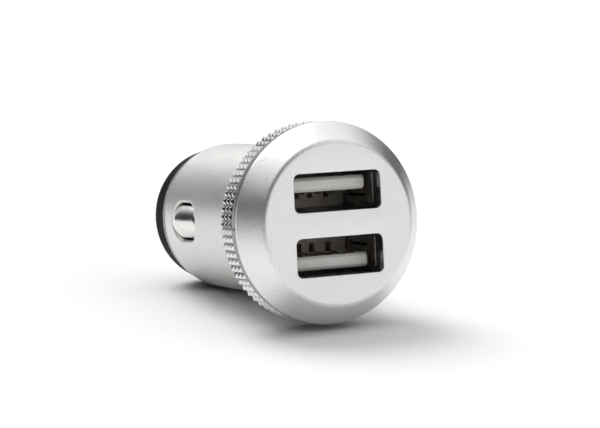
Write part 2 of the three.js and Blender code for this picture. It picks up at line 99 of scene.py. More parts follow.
SLEEVE_RADIUS = 10.4 * MM
SLEEVE_BORE = 9.7 * MM
SLEEVE_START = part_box("barrel_sleeve")[0].y
SLEEVE_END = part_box("barrel_sleeve")[1].y
SLEEVE_CHAMFER_START = 33.9 * MM
SLEEVE_END_RADIUS = 10.15 * MM
WINDOW_START = 23.7 * MM
WINDOW_END = 31.3 * MM
WINDOW_HEIGHT = 5.56 * MM
WINDOW_CORNER = 2.7 * MM
WINDOW_MIDDLE = (WINDOW_START + WINDOW_END) / 2
WINDOW_CENTRES = (SEGMENTS // 4, 3 * SEGMENTS // 4)  # the facets in the middle of the two windows
WINDOW_STEPS = 28  # facets along each side of the square patch around a window
PATCH_LENGTH = 12.0 * MM

NOSE_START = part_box("nose_cap")[0].y
NOSE_RADIUS = 9.85 * MM
NOSE_TAPER_RADIUS = 9.6 * MM
NOSE_TAPER_END = 38.5 * MM
NOSE_ROUND = 4.0 * MM
NOSE_END = NOSE_TAPER_END + NOSE_ROUND

PIN_RADIUS = 3.0 * MM
PIN_FLANGE = 4.2 * MM
PIN_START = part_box("tip_pin")[0].y
PIN_FLANGE_END = PIN_START + 2.0 * MM
PIN_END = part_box("tip_pin")[1].y

SHELL_WIDTH = 13.1 * MM
SHELL_HEIGHT = 5.7 * MM
SHELL_WALL = 0.29 * MM
SHELL_START = 2.0 * MM
SHELL_END = 12.5 * MM

TONGUE_HALF_WIDTH = 5.55 * MM
TONGUE_BOTTOM = 4.26 * MM
TONGUE_TOP = 6.1 * MM
TONGUE_START = 2.7 * MM
INSULATOR_START = 10.4 * MM
INSULATOR_END = 12.4 * MM
INSULATOR_WIDTH = 12.3 * MM
INSULATOR_HEIGHT = 4.92 * MM
BOARD_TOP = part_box("circuit_board")[1].z
CONTACT_X = (-3.5 * MM, -1.0 * MM, 1.0 * MM, 3.5 * MM)
CONTACT_WIDTH = 0.9 * MM
CONTACT_THICKNESS = 0.2 * MM
GROOVE_WIDTH = 1.15 * MM
GROOVE_TOP = 5.25 * MM
GROOVE_START = 3.1 * MM
SLOT_HALF_WIDTH = 0.42 * MM  # slots in the block that the contacts pass through
SLOT_RISE = 1.2 * MM

LEAF_WIDTH = 4.6 * MM
LEAF_THICKNESS = 0.35 * MM
LEAF_PLANE = 9.12 * MM
LEAF_ROOT = 22.3 * MM
LEAF_END = 32.4 * MM
LEAF_FOOT = 6.65 * MM
DOME_PEAK = 11.35 * MM
DOME_LENGTH = 7.3 * MM
DOME_SQUARENESS = 3.4  # 2 is an ellipse
DOME_TOP = 0.27  # where the peak is, from -1 at the head's end of the dome to 1 at the tip's end
DOME_RISE = 0.92 * MM  # from either end to the peak
DOME_RISE_POWER = 1.4  # 1 rises in a straight line, 2 in a parabola
DOME_CROWN = 1.45 * MM  # from either side to the peak
DOME_FULLNESS = 0.65  # the part of a half circle that the crown follows across the dome


# ---- Loops and lofts ----
def arc(centre, radius, start, end, steps):
    """Points of a circular arc in a plane, angles in radians from the first axis."""
    turns = [start + (end - start) * i / steps for i in range(steps + 1)]
    return [(centre[0] + radius * math.cos(t), centre[1] + radius * math.sin(t)) for t in turns]


def circle(radius, y, count=SEGMENTS):
    """A loop around the barrel's axis."""
    turns = [2 * math.pi * i / count for i in range(count)]
    return [Vector((radius * math.sin(t), y, radius * math.cos(t))) for t in turns]


def rounded_outline(width, height, corner, count):
    """Evenly spaced points round a rectangle with round corners, from its right side's middle."""
    straight_x = width - 2 * corner
    straight_y = height - 2 * corner
    bend = math.pi / 2 * corner
    half_side = straight_y / 2
    spans = [half_side, bend, straight_x, bend, straight_y, bend, straight_x, bend, half_side]
    inner_x = straight_x / 2
    inner_y = straight_y / 2
    points = []
    for i in range(count):
        along = sum(spans) * i / count
        part = 0
        while along > spans[part]:
            along -= spans[part]
            part += 1
        quarter = along / corner
        points.append({
            0: (inner_x + corner, along),
            1: (inner_x + corner * math.cos(quarter), inner_y + corner * math.sin(quarter)),
            2: (inner_x - along, inner_y + corner),
            3: (-inner_x - corner * math.sin(quarter), inner_y + corner * math.cos(quarter)),
            4: (-inner_x - corner, inner_y - along),
            5: (-inner_x - corner * math.cos(quarter), -inner_y - corner * math.sin(quarter)),
            6: (-inner_x + along, -inner_y - corner),
            7: (inner_x + corner * math.sin(quarter), -inner_y - corner * math.cos(quarter)),
            8: (inner_x + corner, -inner_y + along),
        }[part])
    return points


def slot_loop(width, height, corner, y, z, grow=0.0):
    """A loop with round corners that faces along the barrel, grown outwards by grow."""
    outline = rounded_outline(width + 2 * grow, height + 2 * grow, corner + grow, LOOP_SEGMENTS)
    return [Vector((a, y, z + b)) for a, b in outline]


def edge_round(radius, steps):
    """Steps over a rounded edge, each as the distance still to go inwards and the distance down."""
    turns = [math.pi / 2 * step / steps for step in range(steps + 1)]
    return [(radius * (1 - math.sin(t)), radius * (1 - math.cos(t))) for t in turns]


def add_loop(bm, points):
    return [bm.verts.new(p) for p in points]


def bridge(bm, first, second):
    """Quads between two loops of the same length."""
    count = len(first)
    for i in range(count):
        j = (i + 1) % count
        bm.faces.new((first[i], first[j], second[j], second[i]))


def loft(bm, loops, closed=False):
    """Skins a row of loops, and returns the first and last as vertices."""
    rows = [add_loop(bm, loop) for loop in loops]
    pairs = list(zip(rows, rows[1:]))
    if closed:
        pairs.append((rows[-1], rows[0]))
    for first, second in pairs:
        bridge(bm, first, second)
    return rows[0], rows[-1]


def fill_flat(bm, outer, holes):
    """A flat face between a loop and the holes in it."""
    edges = []
    for loop in [outer, *holes]:
        for i, vert in enumerate(loop):
            pair = (vert, loop[(i + 1) % len(loop)])
            edges.append(bm.edges.get(pair) or bm.edges.new(pair))
    bmesh.ops.triangle_fill(bm, edges=edges, use_beauty=True, use_dissolve=False)


def lathe(profile, count=SEGMENTS, closed=True):
    """A turned piece from (radius, y) points. An open profile starts and ends on the axis."""
    bm = bmesh.new()
    on_axis = [] if closed else [profile[0], profile[-1]]
    rings = profile if closed else profile[1:-1]
    first, last = loft(bm, [circle(r, y, count) for r, y in rings], closed)
    for (_, y), ring in zip(on_axis, (first, last)):
        centre = bm.verts.new((0, y, 0))
        for i in range(count):
            bm.faces.new((ring[i], ring[(i + 1) % count], centre))
    return bm


def strip(line, thickness):
    """The outline of a strip of even thickness along a centre line of (a, b) points."""
    points = [Vector(p) for p in line]
    left, right = [], []
    for i, here in enumerate(points):
        entering = (here - points[i - 1]) if i else (points[1] - here)
        leaving = (points[i + 1] - here) if i < len(points) - 1 else entering
        entering, leaving = entering.normalized(), leaving.normalized()
        normal = Vector((-entering.y - leaving.y, entering.x + leaving.x)).normalized()
        reach = thickness / 2 / (normal.y * entering.x - normal.x * entering.y)
        left.append(here + normal * reach)
        right.append(here - normal * reach)
    return left, right


def ribbon(line, thickness, width, place):
    """A bent metal strip. place turns (a, b, across) into a point of the frame."""
    bm = bmesh.new()
    left, right = strip(line, thickness)
    half = width / 2
    sections = [
        [place(*l, -half), place(*l, half), place(*r, half), place(*r, -half)]
        for l, r in zip(left, right)
    ]
    first, last = loft(bm, sections)
    bm.faces.new(first)
    bm.faces.new(last)
    return bm


def box_mesh(low, high):
    bm = bmesh.new()
    bmesh.ops.create_cube(bm, size=1.0)
    size = Vector(high) - Vector(low)
    middle = (Vector(high) + Vector(low)) / 2
    bmesh.ops.scale(bm, vec=size, verts=bm.verts)
    bmesh.ops.translate(bm, vec=middle, verts=bm.verts)
    return bm


# ---- Pieces ----
def make(name, bm, sharp=30.0, turn=None):
    """A new object from a bmesh, with its normals outward and edges over an angle kept sharp."""
    if turn is not None:
        bmesh.ops.transform(bm, matrix=turn, verts=bm.verts)
    bmesh.ops.remove_doubles(bm, verts=bm.verts, dist=1e-7)
    bmesh.ops.recalc_face_normals(bm, faces=bm.faces)
    mesh = bpy.data.meshes.new(name)
    bm.to_mesh(mesh)
    bm.free()
    obj = bpy.data.objects.new(name, mesh)
    bpy.context.scene.collection.objects.link(obj)
    shade(obj, sharp)
    return obj


def shade(obj, sharp):
    for polygon in obj.data.polygons:
        polygon.use_smooth = True
    obj.data.set_sharp_from_angle(angle=math.radians(sharp))


def apply_modifiers(obj):
    """Bakes the modifiers of an object into its mesh."""
    bpy.context.view_layer.update()
    evaluated = obj.evaluated_get(bpy.context.evaluated_depsgraph_get())
    mesh = bpy.data.meshes.new_from_object(evaluated)
    obj.modifiers.clear()
    obj.data = mesh


def combine(obj, operation, tools):
    """Adds or cuts other meshes into an object, and removes them."""
    for tool in tools:
        modifier = obj.modifiers.new("join", "BOOLEAN")
        modifier.operation = operation
        modifier.solver = "EXACT"
        modifier.object = tool
    apply_modifiers(obj)
    for tool in tools:
        bpy.data.objects.remove(tool)


def add_bevel(obj, width, angle):
    """Rounds the edges that turn by more than an angle, without changing the mesh itself."""
    modifier = obj.modifiers.new("edges", "BEVEL")
    modifier.width = width
    modifier.segments = 2
    modifier.limit_method = "ANGLE"
    modifier.angle_limit = math.radians(angle)


def soften(obj, width):
    """Rounds the crisp edges of a piece's mesh."""
    add_bevel(obj, width, 35.0)
    apply_modifiers(obj)
    shade(obj, 40.0)


def dress(obj, body, material, node):
    """Gives a piece its material and its body, and lets it stand for a CAD node."""
    obj.data.materials.clear()
    obj.data.materials.append(material)
    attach(obj, body)
    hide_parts(node)


def second_finish(obj, material, chosen):
    """Gives the chosen faces of a piece another material."""
    obj.data.materials.append(material)
    for face, is_chosen in zip(obj.data.polygons, chosen):
        face.material_index = int(is_chosen)


# ---- Materials ----
class Nodes:
    """A material's node tree, with short calls for the nodes used here."""

    def __init__(self, name):
        self.material = bpy.data.materials.new(name)
        self.material.use_nodes = True
        self.tree = self.material.node_tree
        self.shader = self.tree.nodes["Principled BSDF"]
        self.place = self.tree.nodes.new("ShaderNodeTexCoord").outputs["Object"]

    def link(self, source, target):
        self.tree.links.new(source, target)

    def set(self, **values):
        for name, value in values.items():
            self.shader.inputs[name.replace("_", " ")].default_value = value

    def noise(self, size, detail=2.0, stretch=(1, 1, 1)):
        """Noise whose features are about size metres across."""
        mapping = self.tree.nodes.new("ShaderNodeMapping")
        mapping.inputs["Scale"].default_value = [1 / (size * s) for s in stretch]
        self.link(self.place, mapping.inputs["Vector"])
        node = self.tree.nodes.new("ShaderNodeTexNoise")
        node.inputs["Scale"].default_value = 1.0
        node.inputs["Detail"].default_value = detail
        self.link(mapping.outputs["Vector"], node.inputs["Vector"])
        return node.outputs["Fac"]

    def span(self, value, low, high, start=0.3, end=0.7):
        """Maps a value from start..end to low..high."""
        node = self.tree.nodes.new("ShaderNodeMapRange")
        ends = {"From Min": start, "From Max": end, "To Min": low, "To Max": high}
        for name, number in ends.items():
            node.inputs[name].default_value = number
        self.link(value, node.inputs["Value"])
        return node.outputs["Result"]

    def from_axis(self):
        """Distance from the barrel's axis."""
        flatten = self.tree.nodes.new("ShaderNodeVectorMath")
        flatten.operation = "MULTIPLY"
        flatten.inputs[1].default_value = (1, 0, 1)
        self.link(self.place, flatten.inputs[0])
        node = self.tree.nodes.new("ShaderNodeVectorMath")
        node.operation = "LENGTH"
        self.link(flatten.outputs["Vector"], node.inputs[0])
        return node.outputs["Value"]

    def mix(self, value, first, second, top=None):
        """A colour between two, by a value. top is a node's output used in place of the second."""
        node = self.tree.nodes.new("ShaderNodeMix")
        node.data_type = "RGBA"
        node.inputs["A"].default_value = (*first, 1)
        node.inputs["B"].default_value = (*second, 1)
        if top is not None:
            self.link(top, node.inputs["B"])
        self.link(value, node.inputs["Factor"])
        return node.outputs["Result"]

    def bump(self, height, distance, strength=1.0):
        node = self.tree.nodes.new("ShaderNodeBump")
        node.inputs["Distance"].default_value = distance
        node.inputs["Strength"].default_value = strength
        self.link(height, node.inputs["Height"])
        return node.outputs["Normal"]

    def colour(self, output):
        self.link(output, self.shader.inputs["Base Color"])

    def roughness(self, output):
        self.link(output, self.shader.inputs["Roughness"])

    def normal(self, output):
        self.link(output, self.shader.inputs["Normal"])


def blasted_metal(name, dark, light, grain, depth, rough_low, rough_high):
    """Bead-blasted metal: fine pits that also speckle the colour, and a faintly cloudy sheen."""
    n = Nodes(name)
    n.set(Metallic=1.0)
    pits = n.noise(grain, 1.0)
    n.colour(n.mix(n.span(pits, 0.0, 1.0), dark, light))
    n.roughness(n.span(n.noise(2.5 * MM, 3.0), rough_low, rough_high))
    n.normal(n.bump(pits, depth))
    return n.material


def knurled_metal(name, groove, dark, light, rough_low, rough_high):
    """Plated metal with painted shade: a dark colour at the root between the teeth, fading out part
    way up each tooth.
    """
    n = Nodes(name)
    n.set(Metallic=1.0)
    smudges = n.noise(1.2 * MM, 3.0)
    tooth_colour = n.mix(n.span(smudges, 0.0, 1.0), dark, light)
    # painted shade in the grooves: darker towards the ring's root, from the groove colour to the
    # tooth colour
    shade_end_radius = KNURL_ROOT + KNURL_GROOVE_SHADE * (HEAD_RADIUS - KNURL_ROOT)
    groove_shade = n.span(n.from_axis(), 0.0, 1.0, KNURL_ROOT, shade_end_radius)
    n.colour(n.mix(groove_shade, groove, light, top=tooth_colour))
    n.roughness(n.span(smudges, rough_low, rough_high))
    n.normal(n.bump(n.noise(0.08 * MM, 2.0), 0.002 * MM, 0.4))
    return n.material


def plated_metal(name, dark, light, rough_low, rough_high):
    """Smooth plated metal: faint hairlines and smudges."""
    n = Nodes(name)
    n.set(Metallic=1.0)
    smudges = n.noise(1.2 * MM, 3.0)
    n.colour(n.mix(n.span(smudges, 0.0, 1.0), dark, light))
    n.roughness(n.span(smudges, rough_low, rough_high))
    hairlines = n.noise(0.05 * MM, 2.0, stretch=(1, 30, 1))
    n.normal(n.bump(hairlines, 0.002 * MM, 0.25))
    return n.material


def moulded(name, dark, light, rough_low, rough_high, grain, depth, coat=0.0, gloss=0.5):
    """Moulded plastic: slight colour drift, sheen variation and a fine skin texture."""
    n = Nodes(name)
    n.set(Coat_Weight=coat, Coat_Roughness=0.12, Specular_IOR_Level=gloss)
    n.colour(n.mix(n.span(n.noise(1.8 * MM, 3.0), 0.0, 1.0), dark, light))
    skin = n.noise(grain, 2.0)
    n.roughness(n.span(n.noise(0.9 * MM, 2.0), rough_low, rough_high))
    n.normal(n.bump(skin, depth))
    return n.material


CAP_METAL = blasted_metal("cap_metal", (0.75, 0.745, 0.74), (0.90, 0.895, 0.895), 0.15 * MM,
                          0.034 * MM, 0.33, 0.37)
SLEEVE_METAL = blasted_metal("sleeve_metal", (0.67, 0.66, 0.645), (0.80, 0.79, 0.775), 0.19 * MM,
                             0.016 * MM, 0.37, 0.42)
CHAMFER_METAL = plated_metal("chamfer_metal", (0.09, 0.088, 0.095), (0.13, 0.127, 0.135),
                             0.24, 0.32)
# the first colour is painted shade for the grooves between the teeth
KNURL_METAL = knurled_metal("knurl_metal", (0.26, 0.255, 0.25), (0.78, 0.775, 0.765),
                            (0.84, 0.835, 0.825), 0.15, 0.22)
SPACER_METAL = blasted_metal("spacer_metal", (0.29, 0.28, 0.30), (0.34, 0.325, 0.35), 0.08 * MM,
                             0.003 * MM, 0.30, 0.38)
# the walls of the port openings: a smoother punched finish, and a dark colour that is painted shade
# for the shade inside the openings
PUNCHED_EDGE_PAINTED_SHADE = plated_metal("punched_edge_painted_shade", (0.30, 0.295, 0.29), (0.42, 0.41, 0.40), 0.12, 0.22)
BRIGHT_NICKEL = plated_metal("bright_nickel", (0.80, 0.785, 0.76), (0.87, 0.86, 0.84), 0.20, 0.27)
PORT_METAL = plated_metal("port_metal", (0.34, 0.32, 0.30), (0.44, 0.415, 0.39), 0.24, 0.36)
GOLD_FLASH = plated_metal("gold_flash", (0.55, 0.49, 0.38), (0.68, 0.61, 0.48), 0.16, 0.26)
BRASS = plated_metal("brass", (0.66, 0.52, 0.27), (0.78, 0.63, 0.35), 0.22, 0.34)
SPRING_STEEL = plated_metal("spring_steel", (0.42, 0.42, 0.43), (0.56, 0.56, 0.57), 0.20, 0.32)
CAN_METAL = plated_metal("can_metal", (0.58, 0.59, 0.60), (0.68, 0.69, 0.70), 0.24, 0.36)
NOSE_BLACK = moulded("nose_black", (0.008, 0.008, 0.009), (0.014, 0.014, 0.015), 0.34, 0.46,
                     0.12 * MM, 0.003 * MM, gloss=0.012)
GLOSS_BLACK = moulded("gloss_black", (0.010, 0.010, 0.011), (0.018, 0.018, 0.019), 0.26, 0.36,
                      0.25 * MM, 0.002 * MM, gloss=0.3)
# painted shade: the back block of each port is the tongue's cream made darker, for the dimmer light
# deep in the port
PORT_BACK_PAINTED_SHADE = moulded("port_back_painted_shade", (0.62, 0.58, 0.53), (0.71, 0.67, 0.61), 0.46, 0.60,
                    0.12 * MM, 0.004 * MM)
MATT_BLACK = moulded("matt_black", (0.018, 0.018, 0.018), (0.032, 0.031, 0.030), 0.50, 0.66,
                     0.09 * MM, 0.006 * MM)
CREAM = moulded("cream_plastic", (0.86, 0.84, 0.80), (0.92, 0.905, 0.875), 0.42, 0.56,
                0.12 * MM, 0.004 * MM)
EPOXY = moulded("chip_epoxy", (0.012, 0.012, 0.013), (0.026, 0.026, 0.027), 0.48, 0.62,
                0.05 * MM, 0.005 * MM)
FERRITE = moulded("ferrite", (0.045, 0.045, 0.048), (0.085, 0.083, 0.082), 0.55, 0.75,
                  0.10 * MM, 0.010 * MM)
CERAMIC = moulded("ceramic_tan", (0.34, 0.24, 0.14), (0.50, 0.38, 0.24), 0.38, 0.52,
                  0.07 * MM, 0.004 * MM)
SOLDER_MASK = moulded("solder_mask", (0.010, 0.085, 0.035), (0.018, 0.13, 0.055), 0.26, 0.40,
                      0.30 * MM, 0.006 * MM, coat=0.3)


# ---- Head ----
def cap_profile():
    """The cap from the edge of its flat face, round the outside, to the edge of its inner wall."""
    bevel_start = -math.pi / 2 + BEVEL_ANGLE
    roundover = arc((FACE_RADIUS, FACE_ROUND), FACE_ROUND, -math.pi / 2, bevel_start, 12)
    start_r, start_y = roundover[-1]
    rim_r = HEAD_RADIUS - RIM_ROUND
    reach = (rim_r + RIM_ROUND * math.cos(bevel_start) - start_r) / math.cos(BEVEL_ANGLE)
    rim_y = start_y + reach * math.sin(BEVEL_ANGLE) - RIM_ROUND * math.sin(bevel_start)
    rim = arc((rim_r, rim_y), RIM_ROUND, bevel_start, 0, 8)
    back = 0.08 * MM
    back_edge = arc((HEAD_RADIUS - back, RIM_Y - back), back, 0, math.pi / 2, 4)
    small = 0.2 * MM
    return [
        *roundover, *rim, *back_edge,
        (SKIRT_RADIUS, RIM_Y),
        (SKIRT_RADIUS, SKIRT_END - small), (SKIRT_RADIUS - small, SKIRT_END),
        (FLANGE_SEAT, SKIRT_END), (FLANGE_SEAT, FLANGE_Y),
        (CAP_BORE, FLANGE_Y), (CAP_BORE, FACE_WALL + small), (CAP_BORE - small, FACE_WALL),
    ]


def port_hole_loops(z, depth, front_round, width, height, start):
    """Loops down a port opening, with a rounded front edge."""
    loops = [
        slot_loop(width, height, SLOT_CORNER, start + down, z, grow)
        for grow, down in edge_round(front_round, 5)
    ]
    loops.append(slot_loop(width, height, SLOT_CORNER, start + depth, z))
    return loops


def plate_with_ports(profile, depth, front_round, width, height, start):
    """A turned wall, flat in front and behind, with an opening for each port."""
    bm = bmesh.new()
    front, back = loft(bm, [circle(r, y) for r, y in profile])
    mouths = [loft(bm, port_hole_loops(z, depth, front_round, width, height, start))
              for z in (PORT_Z, -PORT_Z)]
    fill_flat(bm, front, [mouth[0] for mouth in mouths])
    fill_flat(bm, back, [mouth[1] for mouth in mouths])
    return bm


def build_cap():
    mouth_round = 0.12 * MM
    bm = plate_with_ports(cap_profile(), FACE_WALL, mouth_round, SLOT_WIDTH, SLOT_HEIGHT, 0.0)
    cap = make("front_cap_shell", bm, 25.0)
    dress(cap, "housing", CAP_METAL, "front_cap")
    # the walls of the openings get the smoother finish whose dark colour is painted shade
    in_opening = [
        abs(face.normal.y) < 0.5 and math.hypot(face.center.x, face.center.z) < CAP_BORE - CLEARANCE
        for face in cap.data.polygons
    ]
    second_finish(cap, PUNCHED_EDGE_PAINTED_SHADE, in_opening)


def build_port_frame():
    start = FACE_WALL + CLEARANCE
    end = SHELL_START - CLEARANCE
    radius = CAP_BORE - 2 * CLEARANCE
    edge = 0.1 * MM
    profile = [
        (radius - edge, start), (radius, start + edge),
        (radius, end - edge), (radius - edge, end),
    ]
    bm = plate_with_ports(profile, end - start, edge, SLOT_WIDTH - 2 * CLEARANCE,
                          SLOT_HEIGHT - CLEARANCE, start)
    dress(make("port_insert", bm), "housing", GLOSS_BLACK, "port_frame")


def build_spacer():
    """A ring with softened edges and a narrow split on the left side."""
    bore = SKIRT_RADIUS + CLEARANCE
    edge = 0.12 * MM
    section = [
        (bore, SPACER_START),
        *arc((SPACER_RADIUS - edge, SPACER_START + edge), edge, -math.pi / 2, 0, 4),
        *arc((SPACER_RADIUS - edge, SPACER_END - edge), edge, 0, math.pi / 2, 4),
        (bore, SPACER_END),
    ]
    left_side = 1.5 * math.pi
    half_gap = SPACER_GAP / 2 / SPACER_RADIUS
    first = left_side + half_gap
    sweep = 2 * math.pi - 2 * half_gap
    bm = bmesh.new()
    sections = []
    for step in range(SEGMENTS + 1):
        turn = first + sweep * step / SEGMENTS
        sections.append([Vector((r * math.sin(turn), y, r * math.cos(turn))) for r, y in section])
    start, end = loft(bm, sections)
    bm.faces.new(start)
    bm.faces.new(end)
    spacer = make("spacer_band", bm)
    dress(spacer, "housing", SPACER_METAL, "spacer_ring")
    # painted shade: the split's end faces are matt black, for the shade inside the narrow gap
    split_area = (SPACER_RADIUS - bore) * (SPACER_END - SPACER_START)
    shaded_split_faces = [face.area > 0.5 * split_area for face in spacer.data.polygons]
    second_finish(spacer, MATT_BLACK, shaded_split_faces)


def knurl_point(tooth, y, radius):
    """A point on the ring, tooth pitches round it."""
    turn = 2 * math.pi * tooth / KNURL_AROUND
    return Vector((radius * math.sin(turn), y, radius * math.cos(turn)))


def add_teeth(bm, front, back, row_start, row_pitch):
    """A row of four-sided pyramids with small flats on their tips, and the grooves between them."""
    low, high = KNURL_TIP, 1 - KNURL_TIP
    tip_marks = ((low, low), (high, low), (high, high), (low, high))
    for tooth in range(KNURL_AROUND):
        left, right = 2 * tooth, 2 * tooth + 1
        after = (right + 1) % len(front)
        corners = (front[left], front[right], back[right], back[left])
        tips = [
            bm.verts.new(knurl_point(tooth + a, row_start + b * row_pitch, HEAD_RADIUS))
            for a, b in tip_marks
        ]
        for i in range(4):
            j = (i + 1) % 4
            bm.faces.new((corners[i], corners[j], tips[j], tips[i]))
        bm.faces.new(tips)
        bm.faces.new((front[right], front[after], back[after], back[right]))


def build_knurl():
    row_pitch = (KNURL_END - KNURL_START) / KNURL_ROWS
    tooth_ends = (KNURL_VALLEY, 1 - KNURL_VALLEY)
    edge = 0.1 * MM
    row_starts = [KNURL_START + row * row_pitch for row in range(KNURL_ROWS)]
    section = [
        (RING_BORE, RING_START), (KNURL_ROOT - edge, RING_START), (KNURL_ROOT, RING_START + edge),
        *[(KNURL_ROOT, y + mark * row_pitch) for y in row_starts for mark in tooth_ends],
        (KNURL_ROOT, RING_END - edge / 2), (KNURL_ROOT - edge, RING_END),
        (RING_SHOULDER_BORE + edge, RING_END), (RING_SHOULDER_BORE, RING_END - edge),
        (RING_SHOULDER_BORE, RING_SHOULDER), (RING_BORE, RING_SHOULDER),
    ]
    first_row = 3  # the section's point where the first row of teeth starts
    marks = [tooth + mark for tooth in range(KNURL_AROUND) for mark in tooth_ends]
    bm = bmesh.new()
    loops = [
        add_loop(bm, [knurl_point(mark, y, radius) for mark in marks])
        for radius, y in section
    ]
    for k, loop in enumerate(loops):
        after = loops[(k + 1) % len(loops)]
        row, between = divmod(k - first_row, 2)
        if 0 <= row < KNURL_ROWS and not between:
            add_teeth(bm, loop, after, row_starts[row], row_pitch)
        else:
            bridge(bm, loop, after)
    dress(make("knurl_band", bm, 12.0), "housing", KNURL_METAL, "knurled_ring")


# ---- Barrel ----
def sleeve_skin(bm, rows, window_grow):
    """One skin of the tube, from (radius, y) rows, with a hole on each side. Returns its loops."""
    patch_start = WINDOW_MIDDLE - PATCH_LENGTH / 2
    patch_rows = [patch_start + PATCH_LENGTH * i / WINDOW_STEPS for i in range(WINDOW_STEPS + 1)]
    radius = rows[0][0]
    before = [(r, y) for r, y in rows if y < patch_start]
    after = [(r, y) for r, y in rows if y > patch_start + PATCH_LENGTH]
    levels = before + [(radius, y) for y in patch_rows] + after
    grid = [add_loop(bm, circle(r, y)) for r, y in levels]
    first_row = len(before)
    half = WINDOW_STEPS // 2
    for row in range(len(grid) - 1):
        for i in range(SEGMENTS):
            in_rows = first_row <= row < first_row + WINDOW_STEPS
            if in_rows and any(c - half <= i < c + half for c in WINDOW_CENTRES):
                continue
            j = (i + 1) % SEGMENTS
            bm.faces.new((grid[row][i], grid[row][j], grid[row + 1][j], grid[row + 1][i]))
    holes = [
        patch_hole(bm, grid, first_row, centre, radius, window_grow)
        for centre in WINDOW_CENTRES
    ]
    return grid[0], grid[-1], holes


def patch_hole(bm, grid, first_row, centre, radius, grow):
    """Rings that run from the square patch of the tube's grid in to the window's outline."""
    half = WINDOW_STEPS // 2
    middle_row = first_row + half
    right = [(middle_row + k, centre + half) for k in range(half)]
    top = [(middle_row + half, centre + half - k) for k in range(WINDOW_STEPS)]
    left = [(middle_row + half - k, centre - half) for k in range(WINDOW_STEPS)]
    bottom = [(middle_row - half, centre - half + k) for k in range(WINDOW_STEPS)]
    last = [(middle_row - half + k, centre + half) for k in range(half)]
    marks = right + top + left + bottom + last
    border = [grid[row][i % SEGMENTS] for row, i in marks]
    arc_step = 2 * math.pi * SLEEVE_RADIUS / SEGMENTS
    flat = [
        ((i - centre) * arc_step, (row - middle_row) * PATCH_LENGTH / WINDOW_STEPS)
        for row, i in marks
    ]
    outline = window_outline(grow, len(border))
    previous = border
    rings = 6
    for step in range(1, rings + 1):
        share = step / rings
        points = [
            tube_point(centre, radius, a + (c - a) * share, b + (d - b) * share)
            for (a, b), (c, d) in zip(flat, outline)
        ]
        ring = add_loop(bm, points)
        bridge(bm, previous, ring)
        previous = ring
    return previous


def window_outline(grow, count):
    return rounded_outline(WINDOW_HEIGHT + 2 * grow, WINDOW_END - WINDOW_START + 2 * grow,
                           WINDOW_CORNER + grow, count)


def tube_point(centre, radius, around, along):
    """A point at a radius, from distances around and along the tube from a window's middle."""
    turn = 2 * math.pi * centre / SEGMENTS + around / SLEEVE_RADIUS
    return Vector((radius * math.sin(turn), WINDOW_MIDDLE + along, radius * math.cos(turn)))


def build_sleeve():
    flange = FLANGE_SEAT - CLEARANCE
    flange_end = SKIRT_END - 2 * CLEARANCE
    edge = 0.28 * MM
    end_edge = edge / 4
    slope = math.atan2(SLEEVE_RADIUS - SLEEVE_END_RADIUS, SLEEVE_END - SLEEVE_CHAMFER_START)
    end_centre = (SLEEVE_END_RADIUS - end_edge, SLEEVE_END - end_edge)
    bm = bmesh.new()
    outer_rows = [
        (SLEEVE_RADIUS, flange_end), (SLEEVE_RADIUS, 0.5 * (flange_end + WINDOW_START)),
        *arc((SLEEVE_RADIUS - edge, SLEEVE_CHAMFER_START), edge, 0, slope, 2),
        *arc(end_centre, end_edge, slope, math.pi / 2, 2),
    ]
    inner_rows = [(SLEEVE_BORE, SLEEVE_START), (SLEEVE_BORE, SLEEVE_END - CLEARANCE)]
    outer_first, outer_last, outer_holes = sleeve_skin(bm, outer_rows, edge)
    inner_first, inner_last, inner_holes = sleeve_skin(bm, inner_rows, 0.0)
    lip = add_loop(bm, circle(SLEEVE_BORE + CLEARANCE, SLEEVE_END))
    bridge(bm, outer_last, lip)
    bridge(bm, lip, inner_last)
    flange_loops = [circle(flange, flange_end), circle(flange, SLEEVE_START)]
    flange_front, flange_back = loft(bm, flange_loops)
    bridge(bm, outer_first, flange_front)
    bridge(bm, flange_back, inner_first)
    for centre, outer, inner in zip(WINDOW_CENTRES, outer_holes, inner_holes):
        previous = outer
        for grow, down in edge_round(edge, 4)[1:]:
            outline = window_outline(grow, len(outer))
            radius = SLEEVE_RADIUS - down
            ring = add_loop(bm, [tube_point(centre, radius, a, b) for a, b in outline])
            bridge(bm, previous, ring)
            previous = ring
        bridge(bm, previous, inner)
    sleeve = make("barrel_tube", bm)
    dress(sleeve, "housing", SLEEVE_METAL, "barrel_sleeve")
    on_chamfer = [
        face.center.y > SLEEVE_CHAMFER_START and face.normal.y > 0.5 * math.sin(slope)
        for face in sleeve.data.polygons
    ]
    second_finish(sleeve, CHAMFER_METAL, on_chamfer)


def build_nose():
    """The nose, with a shallow dish round the pin and softened edges."""
    spigot = SLEEVE_BORE - CLEARANCE
    shoulder = SLEEVE_END + CLEARANCE
    bore = PIN_FLANGE + 2 * CLEARANCE
    mouth = PIN_RADIUS + 1.5 * CLEARANCE
    bore_end = PIN_FLANGE_END + CLEARANCE
    edge = 0.15 * MM
    dish = 0.35 * MM
    dish_radius = mouth + 1.3 * MM
    dish_floor = NOSE_END - dish
    round_centre = (NOSE_TAPER_RADIUS - NOSE_ROUND, NOSE_TAPER_END)
    profile = [
        (bore, NOSE_START), (spigot - edge, NOSE_START), (spigot, NOSE_START + edge),
        (spigot, shoulder), (NOSE_RADIUS - edge, shoulder), (NOSE_RADIUS, shoulder + edge),
        *arc(round_centre, NOSE_ROUND, 0, math.pi / 2, 24),
        (dish_radius + edge, NOSE_END), (dish_radius, NOSE_END - edge),
        (dish_radius - edge, dish_floor), (mouth + edge, dish_floor), (mouth, dish_floor - edge),
        (mouth, bore_end), (bore, bore_end),
    ]
    dress(make("nose_shell", lathe(profile)), "housing", NOSE_BLACK, "nose_cap")


